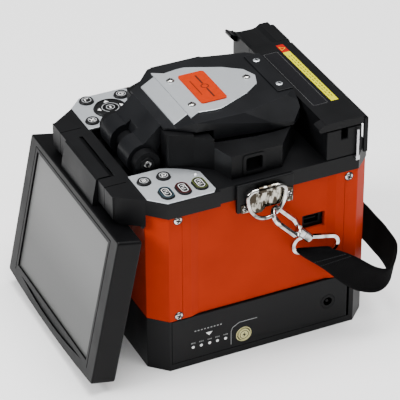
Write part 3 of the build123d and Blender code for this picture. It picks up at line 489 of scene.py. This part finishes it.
def add_dome_screw(name, at, radius, height, body, head="chrome"):
    """Domed screw head with a cross recess, a painted shadow ring round its foot and painted shade
    in the recess.
    """
    dome = [(radius * math.sin(math.radians(a)), height * math.cos(math.radians(a)))
            for a in (0, 20, 40, 60, 75, 90)]
    screw = turned(name, at, dome + [(radius, -0.3), (0, -0.3)], head, body)
    # painted shadow: a near-black ring round the foot of the head
    print_and_shade_marks(name + "_painted_shadow_ring", at, [("fill", circle(radius * 1.13), 0)], "dark_recess",
                body, high=0.05)
    # painted shade: the cross recess is filled with a near-black mark
    reach, groove = radius * 0.62, radius * 0.34
    cross = [("line", [(-reach, 0), (reach, 0)], groove),
             ("line", [(0, -reach), (0, reach)], groove)]
    print_and_shade_marks(name + "_recess", at, cross, "dark_recess", body,
                low=height * 0.5, high=height * 1.02)
    return screw


# ---- screws on the orange panels and on the ring plates -----------------------------
PANEL_SCREW_Y = 58.0
PANEL_SCREW_RADIUS = 2.7
PANEL_SCREW_UP = (0, 0.38, 0.92)   # the way the arms of the cross recess point
PLATE_SCREWS = ((-14.9, 109.1), (14.8, 112.0))   # Y and Z on a ring plate's two wings


def add_panel_screws():
    """Domed cross-head screws in place of the eight plain panel screw heads."""
    low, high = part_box("panel_screws")
    count = 0
    for side in (-1, 1):
        for y in (-PANEL_SCREW_Y, PANEL_SCREW_Y):
            for z in (low.z / MM + PANEL_SCREW_RADIUS, high.z / MM - PANEL_SCREW_RADIUS):
                at = placed((side * (high.x / MM - 1.0), y, z), (side, 0, 0), PANEL_SCREW_UP)
                screw = add_dome_screw(f"panel_screw_{count}", at, PANEL_SCREW_RADIUS, 1.0,
                                       "root")
                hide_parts("panel_screws")
                count += 1


def add_plate_screws():
    """A small screw in each wing of both ring plates."""
    for side, word in SIDES:
        for index, (y, z) in enumerate(PLATE_SCREWS):
            at = placed(*surface("ring_clamps", (side * OUTSIDE, y, z), (-side, 0, 0)))
            add_dome_screw(f"ring_plate_screw_{word}_{index}", at, 2.0, 1.0, "root")


add_panel_screws()
add_plate_screws()


# ---- wind cover fittings ------------------------------------------------------------
COVER_SCREWS = ((-16.0, -25.3), (16.0, -25.3), (0.0, 19.4))
LATCH_SCREWS_X, LATCH_Y = (-16.0, 16.0), 34.3
for index, (x, y) in enumerate(COVER_SCREWS):
    at = on_top("cover_plate", x, y)
    add_dome_screw(f"cover_plate_screw_{index}", at, 2.3, 1.1, "wind_cover")
for index, x in enumerate(LATCH_SCREWS_X):
    at = on_top("latch_plate", x, LATCH_Y)
    add_dome_screw(f"latch_screw_{index}", at, 2.3, 0.5, "wind_cover",
                   head="silver_trim")
print_and_shade_marks("badge_mark", on_top("cover_badge", 0, -10.8), [
    ("line", [(-14, 1.6), (-3.2, 1.6)], 1.0), ("line", [(3.2, 1.6), (14, 1.6)], 1.0),
    ("loop", circle(2.3, (0, 1.6), count=24), 0.55),
    ("line", [(-9, -4.4), (9, -4.4)], 0.5)], "ink_dark", "wind_cover")

# ---- hinge ears: socket screws on the outer ends ------------------------------------
EAR_Y, EAR_Z = -60.5, 129.5
EAR_RING = [(0, 0.1), (2.9, 0.1), (3.2, 0.6), (4.6, 0.6), (4.9, 0.2), (4.9, -0.2), (0, -0.2)]
EAR_SCREW = [(0, 0.25), (1.2, 0.25), (1.3, 0.75), (2.5, 0.6), (2.7, 0.1), (2.7, -0.2), (0, -0.2)]
for side, word in SIDES:
    point, normal = surface("top_deck", (side * 60, EAR_Y, EAR_Z + 4), (-side, 0, 0))
    at = placed((point.x, EAR_Y, EAR_Z), normal, up=UP)
    turned(f"ear_ring_{word}", at, EAR_RING, "black_deck", "root")
    turned(f"ear_screw_{word}", at, EAR_SCREW, "chrome", "root")
    # painted shade: the hex socket is a near-black mark
    print_and_shade_marks(f"ear_socket_{word}", at, [("fill", circle(1.25, count=6), 0)], "dark_recess",
                "root", high=0.32)


# ---- keys ---------------------------------------------------------------------------
KEY_MARGIN = 2.0                   # flange and soft edge round a key's flat, both sides together
OVAL_INSET = 3.4                   # how much smaller the printed ring is than an oval cap


def shrink(points, distance):
    """Points pulled towards their centre by about a distance."""
    result = []
    for x, y in points:
        length = math.hypot(x, y)
        result.append((x * (length - distance) / length, y * (length - distance) / length))
    return result


def add_key_rim(node, rim_ink, inner_ink="key_line", oval=False):
    """Raised rim and printed inner ring on a key; returns the frame on its cap."""
    at, size = top_frame(node)
    across, along = size.x - KEY_MARGIN, size.y - KEY_MARGIN
    if oval:
        outer = rounded(across, along, min(across, along) / 2 - 0.05, per_corner=10)
        inner_size = (across - OVAL_INSET, along - OVAL_INSET)
        inner = rounded(*inner_size, min(inner_size) / 2 - 0.05, per_corner=10)
    else:
        outer = circle(across / 2)
        inner = circle(across / 2 - 1.3)
    print_and_shade_marks(f"{node}_rim", at, [("loop", shrink(outer, 0.25), 0.4)], rim_ink, node,
                high=0.30)
    print_and_shade_marks(f"{node}_ring", at, [("loop", inner, 0.32)], inner_ink, node)
    return at


ICONS = {
    "key_menu": [("line", [(-1.3, 1.5), (-1.3, -1.0), (1.5, -1.0)], 0.6)],
    "key_power": [("line", circle(1.5, start=125, end=415, count=20), 0.5),
                  ("line", [(0, 0.2), (0, 2.0)], 0.5)],
    "key_close": [("line", [(-1.4, -1.4), (1.4, 1.4)], 0.65),
                  ("line", [(-1.4, 1.4), (1.4, -1.4)], 0.65)],
    "key_zoom": [("line", [(-1.5, y), (1.5, y)], 0.4) for y in (0.9, 0, -0.9)],
    "key_arc": [("loop", circle(1.2, (-0.3, 0.3), count=20), 0.4),
                ("line", [(0.6, -0.6), (1.6, -1.6)], 0.5)],
}
OVAL_KEYS = (("key_blue", "blue_ink"), ("key_red", "dull_red"), ("key_green", "green_ink"))
for node, shapes in ICONS.items():
    at = add_key_rim(node, "key_black")
    print_and_shade_marks(f"{node}_icon", at, shapes, "white_ink", node)
for node, ring_ink in OVAL_KEYS:
    at = add_key_rim(node, ring_ink, inner_ink="white_ink", oval=True)
    marks = [("line", [(-2.4 + 2.0 * k, -0.9), (-2.4 + 2.0 * k, 0.9)], 0.35) for k in range(3)]
    marks += [("line", [(-2.4, 0.9), (-1.0, 0.9)], 0.3),
              ("line", [(-0.4, -0.9), (1.6, -0.9)], 0.3)]
    print_and_shade_marks(f"{node}_icon", at, marks, "white_ink", node)
pad_at, pad_size = top_frame("dpad")
pad_radius = (pad_size.x - KEY_MARGIN) / 2
tip = [(pad_radius - 1.3, 0), (pad_radius - 3.4, 1.75), (pad_radius - 3.4, -1.75)]
arrows = []
for turn in range(4):
    angle = math.radians(90 * turn)
    arrows.append(("fill", [(x * math.cos(angle) - y * math.sin(angle),
                             x * math.sin(angle) + y * math.cos(angle)) for x, y in tip], 0))
print_and_shade_marks("dpad_arrows", pad_at, arrows, "white_ink", "dpad")
print_and_shade_marks("dpad_rim", pad_at, [("loop", circle(pad_radius - 0.4, count=48), 0.8)], "key_black",
            "dpad", high=0.35)
print_and_shade_marks("dpad_ring", pad_at, [("loop", circle(5.4, count=40), 0.3)], "key_line",
            "dpad")
ok_at = top_frame("key_ok")[0]
print_and_shade_marks("key_ok_ring", ok_at, [("loop", circle(2.6, count=32), 0.35)], "key_line",
            "key_ok")
print_and_shade_marks("key_ok_mark", ok_at, [("line", [(-1.1, 0), (1.1, 0)], 0.9)], "white_ink",
            "key_ok")
LAMP = [(0, 0.7), (0.6, 0.6), (0.9, 0.2), (0.9, -0.2), (0, -0.2)]
turned("power_lamp", on_top("keypad_plates", 46, -37), LAMP, "white_ink", "root",
       count=20)

# ---- battery front ------------------------------------------------------------------
face_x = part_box("battery_case")[1].x / MM
CHARGE_LAMPS = (-48.5, -42.9, -37.1, -31.8, -26.1)
CHARGE_Y = -37.5                   # middle of the printed charge gauge


def battery_at(y, z):
    """Frame on the battery's right face: X towards the rear, Y up."""
    return placed((face_x, y, z), RIGHT, up=UP)


for index, y in enumerate(CHARGE_LAMPS):
    at = battery_at(y, 13.6)
    print_and_shade_marks(f"charge_lamp_{index}", at, [("fill", circle(1.0, count=20), 0)], "white_ink",
                "battery")
    ticks = [("line", [(-1.2 + 0.8 * k, 2.6), (-1.2 + 0.8 * k, 3.5)], 0.3) for k in range(4)]
    print_and_shade_marks(f"charge_ticks_{index}", at, ticks, "print_grey", "battery")
print_and_shade_marks("charge_pointer", battery_at(CHARGE_Y, 21.0), [
    ("fill", [(-2.3, 1.2), (0, -1.4), (2.3, 1.2)], 0)], "white_ink", "battery")
print_and_shade_marks("charge_rule", battery_at(CHARGE_Y, 25.5), [
    ("line", [(-10 + 2.2 * k, 0), (-8.9 + 2.2 * k, 0)], 0.7) for k in range(9)],
    "print_grey", "battery")
print_and_shade_marks("release_line", battery_at(0, 0), [
    ("line", [(-22.3, 7.6), (-22.3, 17.7), (-21.2, 20.4), (-16.8, 23.0), (-4.2, 23.0)], 0.35)],
    "print_grey", "battery")
button_at = right_frame("battery_button")
print_and_shade_marks("button_mark", button_at, [
    ("loop", circle(2.9, count=36), 0.5),
    ("fill", [(0.6, 2.0), (-1.5, -0.3), (-0.1, -0.3), (-0.6, -2.0), (1.5, 0.3), (0.1, 0.3)], 0)],
    "ink_dark", "battery_button")
bezel_at = right_frame("battery_button", face_x)
print_and_shade_marks("button_surround", bezel_at, [("loop", circle(5.0, count=40), 0.6)], "button_yellow",
            "battery", high=0.12)
JACK_PIN = [(0, -1.2), (0.8, -1.4), (1.0, -1.9), (1.0, -6.5), (0, -6.5)]
turned("jack_pin", right_frame("dc_jack"), JACK_PIN, "chrome", "battery", count=24)

# ---- heater lid ---------------------------------------------------------------------
LABEL_Y = (57.4, 62.4)
LABEL_X = (-43, -33, 33.5)         # red end, where the yellow begins, and the yellow end


def label_area(start, end):
    """Filled stretch of the label's band between two X values."""
    half = (LABEL_Y[1] - LABEL_Y[0]) / 2
    return [("fill", [(start, -half), (end, -half), (end, half), (start, half)], 0)]


label_at = on_top("heater_lid", 8, (LABEL_Y[0] + LABEL_Y[1]) / 2)
print_and_shade_marks("heater_label", label_at, label_area(LABEL_X[1], LABEL_X[2]), "label_yellow",
            "heater_lid")
print_and_shade_marks("heater_label_end", label_at, label_area(LABEL_X[0], LABEL_X[1]), "red_ink",
            "heater_lid")
label_marks = [("line", [(-28 + 3.2 * k, 0.9), (-26.1 + 3.2 * k, 0.9)], 0.6) for k in range(18)]
label_marks += [("line", [(-28 + 4.1 * k, -0.9), (-25.4 + 4.1 * k, -0.9)], 0.45)
                for k in range(14)]
print_and_shade_marks("heater_label_marks", label_at, label_marks, "ink_dark", "heater_lid",
            high=0.09)
warning = [("loop", [(-40.2, -1.6), (-35.8, -1.6), (-38, 1.8)], 0.5)]
print_and_shade_marks("heater_label_sign", label_at, warning, "label_yellow", "heater_lid",
            high=0.09)
window_at, window_size = top_frame("heater_window")
window_edge = rounded(window_size.x - 2.4, window_size.y - 2.4, 1.2)
print_and_shade_marks("window_outline", window_at, [("loop", window_edge, 0.2)], "window_line",
            "heater_lid")

# ---- carry strap --------------------------------------------------------------------
# Stations of the right half, ring to rear middle: lower edge and upper edge in millimetres.
STRAP_STATIONS = [
    ((70.6, 36.4, 53.2), (77.7, 54.6, 60.4)),
    ((71.2, 28.2, 61.0), (74.4, 49.4, 62.6)),
    ((70.0, 19.8, 68.2), (70.1, 43.7, 62.8)),
    ((71.0, 19.1, 70.9), (71.0, 43.5, 65.4)),
    ((72.9, 19.1, 71.0), (72.9, 43.7, 65.6)),
    ((74.3, 19.6, 69.6), (74.5, 44.4, 65.2)),
    ((74.4, 26.0, 63.4), (77.5, 48.8, 64.6)),
    ((72.6, 37.8, 52.3), (80.2, 56.0, 60.6)),
    ((71.0, 49.8, 38.9), (81.4, 64.2, 54.2)),
    ((71.4, 60.9, 28.6), (81.8, 72.0, 48.2)),
    ((74.0, 69.4, 25.2), (81.6, 79.0, 45.4)),
    ((76.6, 76.2, 25.4), (80.4, 84.6, 47.6)),
    ((76.0, 82.6, 27.4), (77.0, 88.4, 52.0)),
    ((71.2, 87.4, 29.2), (71.4, 91.0, 55.4)),
    ((60.0, 90.4, 30.4), (60.0, 92.0, 57.2)),
    ((44.0, 91.4, 31.0), (44.0, 92.2, 58.0)),
    ((22.0, 91.6, 31.2), (22.0, 92.2, 58.4)),
    ((0.0, 91.6, 31.2), (0.0, 92.2, 58.4)),
]
STRAP_THICK = 1.5
STRAP_STEPS = 8                    # rows between neighbouring stations
STRAP_ACROSS = 12                  # cells across the band
STITCH_ROWS = (6.35, 6.75)         # stations where the fold is sewn shut
STITCH_COUNT = 13


def spline(points, position):
    """Catmull-Rom point at a position counted in stations."""
    last = len(points) - 1
    i = min(int(position), last - 1)
    t = position - i
    p0, p1 = points[max(i - 1, 0)], points[i]
    p2, p3 = points[i + 1], points[min(i + 2, last)]
    return 0.5 * ((2 * p1) + (p2 - p0) * t + (2 * p0 - 5 * p1 + 4 * p2 - p3) * t * t
                  + (3 * p1 - p0 - 3 * p2 + p3) * t * t * t)


def mirrored(side, point):
    """Point of the right half, or the same point on the left."""
    return Vector((side * point[0], point[1], point[2]))


def strap_shell(side, lower, upper):
    """Mesh of half the band, with its mean width and its length in millimetres."""
    rows = (len(STRAP_STATIONS) - 1) * STRAP_STEPS
    middle = []
    for r in range(rows + 1):
        low, high = spline(lower, r / STRAP_STEPS), spline(upper, r / STRAP_STEPS)
        middle.append([low.lerp(high, c / STRAP_ACROSS) for c in range(STRAP_ACROSS + 1)])
    lengths = [0.0]
    for a, b in zip(middle, middle[1:]):
        lengths.append(lengths[-1] + (b[STRAP_ACROSS // 2] - a[STRAP_ACROSS // 2]).length)
    width = sum((row[-1] - row[0]).length for row in middle) / len(middle)
    bm = bmesh.new()
    uv_layer = bm.loops.layers.uv.new("UVMap")
    shell = {}
    for r, row in enumerate(middle):
        ahead, behind = middle[min(r + 1, rows)], middle[max(r - 1, 0)]
        for c, point in enumerate(row):
            along = ahead[c] - behind[c]
            if r == rows:
                along = Vector((-side, 0, 0))
            across = row[min(c + 1, STRAP_ACROSS)] - row[max(c - 1, 0)]
            normal = along.cross(across).normalized() * side
            share = c / STRAP_ACROSS
            edge = min(share, 1 - share) * STRAP_ACROSS
            half = STRAP_THICK / 2 * (0.45 if edge < 0.5 else 1.0)
            ripple = 0.12 * math.sin(lengths[r] * 0.33 + 0.8 * math.sin(share * 3.1))
            for face in (1, -1):
                place = (point + normal * (face * half + ripple)) * MM
                shell[r, c, face] = bm.verts.new(place)
    uv_of = {}
    for (r, c, face), vert in shell.items():
        uv_of[vert] = (lengths[r] * MM, c / STRAP_ACROSS * width * MM + (0.1 if face < 0 else 0))

    def quad(*keys):
        made = bm.faces.new([shell[k] for k in keys])
        for loop in made.loops:
            loop[uv_layer].uv = uv_of[loop.vert]

    for r in range(rows):
        for c in range(STRAP_ACROSS):
            quad((r, c, 1), (r + 1, c, 1), (r + 1, c + 1, 1), (r, c + 1, 1))
            quad((r, c + 1, -1), (r + 1, c + 1, -1), (r + 1, c, -1), (r, c, -1))
        quad((r, 0, -1), (r + 1, 0, -1), (r + 1, 0, 1), (r, 0, 1))
        quad((r, STRAP_ACROSS, 1), (r + 1, STRAP_ACROSS, 1), (r + 1, STRAP_ACROSS, -1),
             (r, STRAP_ACROSS, -1))
    for r in (0, rows):
        for c in range(STRAP_ACROSS):
            quad((r, c, 1), (r, c + 1, 1), (r, c + 1, -1), (r, c, -1))
    bmesh.ops.recalc_face_normals(bm, faces=bm.faces)
    return bm, width, lengths[-1]


def stitching(side, lower, upper):
    """Mesh of the rows of stitching that close the fold below the ring."""
    thread = bmesh.new()
    for position in STITCH_ROWS:
        low, high = spline(lower, position), spline(upper, position)
        ahead = spline(lower, position + 0.05) - low
        out = ahead.cross(high - low).normalized() * side
        for k in range(STITCH_COUNT):
            ends = [low.lerp(high, (k + share) / (STITCH_COUNT + 0.7)) for share in (0.7, 1.25)]
            base = [thread.verts.new((p + out * (STRAP_THICK / 2 + h)
                                      + ahead.normalized() * s) * MM)
                    for p in ends for h in (-0.1, 0.22) for s in (-0.22, 0.22)]
            bmesh.ops.convex_hull(thread, input=base)
    return thread


def add_strap_half(side, word):
    """Half of the carry strap, from its fold round the ring to the rear middle."""
    lower = [mirrored(side, low) for low, _ in STRAP_STATIONS]
    upper = [mirrored(side, high) for _, high in STRAP_STATIONS]
    shell, width, length = strap_shell(side, lower, upper)
    strap = mesh_object(f"strap_{word}", shell, "webbing", smooth=True)
    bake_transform(strap)
    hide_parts("carry_strap")
    stitches = mesh_object(f"strap_stitches_{word}", stitching(side, lower, upper), "thread")
    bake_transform(stitches)


add_strap_half(1, "right")
add_strap_half(-1, "left")


# ---- floor, light and camera --------------------------------------------------------
def add_floor():
    """A plain pale floor under the base."""
    mesh = bpy.data.meshes.new("floor")
    half = 3.0
    corners = [(-half, -half, 0), (half, -half, 0), (half, half, 0), (-half, half, 0)]
    mesh.from_pydata(corners, [], [(0, 1, 2, 3)])
    floor = bpy.data.objects.new("floor", mesh)
    bpy.context.collection.objects.link(floor)
    mat, tree, shader = start_material("floor", (0.93, 0.93, 0.93), 0.7, specular=0.2)
    tint(tree, shader, noise(tree, 0.5, 1.0), (0.92, 0.92, 0.92), (0.94, 0.94, 0.94))
    floor.data.materials.append(mat)


def add_light(name, place, aim, size, power):
    """A square soft box at place, turned to aim."""
    light = bpy.data.lights.new(name, "AREA")
    light.size = size
    light.energy = power
    obj = bpy.data.objects.new(name, light)
    obj.location = place
    obj.rotation_euler = (Vector(aim) - Vector(place)).to_track_quat("-Z", "Y").to_euler()
    bpy.context.collection.objects.link(obj)


def add_world(strength):
    """White surroundings that darken towards the horizon."""
    world = bpy.data.worlds.new("studio")
    world.use_nodes = True
    tree = world.node_tree
    background = tree.nodes["Background"]
    background.inputs["Strength"].default_value = strength
    coords = tree.nodes.new("ShaderNodeTexCoord")
    split = tree.nodes.new("ShaderNodeSeparateXYZ")
    ramp = tree.nodes.new("ShaderNodeValToRGB")
    ramp.color_ramp.elements[0].position = 0.0
    ramp.color_ramp.elements[0].color = (0.09, 0.09, 0.09, 1)
    ramp.color_ramp.elements[1].position = 1.0
    ramp.color_ramp.elements[1].color = (1, 1, 1, 1)
    middle = ramp.color_ramp.elements.new(0.55)
    middle.color = (0.2, 0.2, 0.2, 1)
    tree.links.new(coords.outputs["Generated"], split.inputs["Vector"])
    tree.links.new(split.outputs["Z"], ramp.inputs["Fac"])
    tree.links.new(ramp.outputs["Color"], background.inputs["Color"])
    bpy.context.scene.world = world


CAMERA_AZIMUTH = math.radians(65.088)
CAMERA_ELEVATION = math.radians(32.971)
CAMERA_ROLL = math.radians(-0.258)
CAMERA_DISTANCE = 1.5372
CAMERA_TARGET = Vector((-0.02905, 0.00076, 0.05367))
CAMERA_LENS = 212.14


def add_camera():
    """Long lens from the operator's right, looking down on the keypad side."""
    camera = bpy.data.objects.new("camera", bpy.data.cameras.new("camera"))
    camera.data.lens = CAMERA_LENS
    camera.data.sensor_width = 36.0
    back = Vector((math.sin(CAMERA_AZIMUTH) * math.cos(CAMERA_ELEVATION),
                   -math.cos(CAMERA_AZIMUTH) * math.cos(CAMERA_ELEVATION),
                   math.sin(CAMERA_ELEVATION)))
    camera.location = CAMERA_TARGET + back * CAMERA_DISTANCE
    turn = (-back).to_track_quat("-Z", "Y").to_matrix().to_4x4()
    camera.rotation_euler = (turn @ Matrix.Rotation(CAMERA_ROLL, 4, "Z")).to_euler()
    camera.data.clip_start = 0.01
    camera.data.clip_end = 50
    bpy.context.collection.objects.link(camera)
    bpy.context.scene.camera = camera


add_floor()
add_world(1.3)
add_light("key_light", (-0.2, -1.9, 1.3), (0, 0, 0.08), 0.9, 62)
add_light("side_light", (1.7, -0.5, 1.5), (0, 0, 0.08), 0.8, 9)
add_light("top_light", (0.1, 0.3, 2.3), (0, 0, 0.0), 1.6, 90)
add_camera()
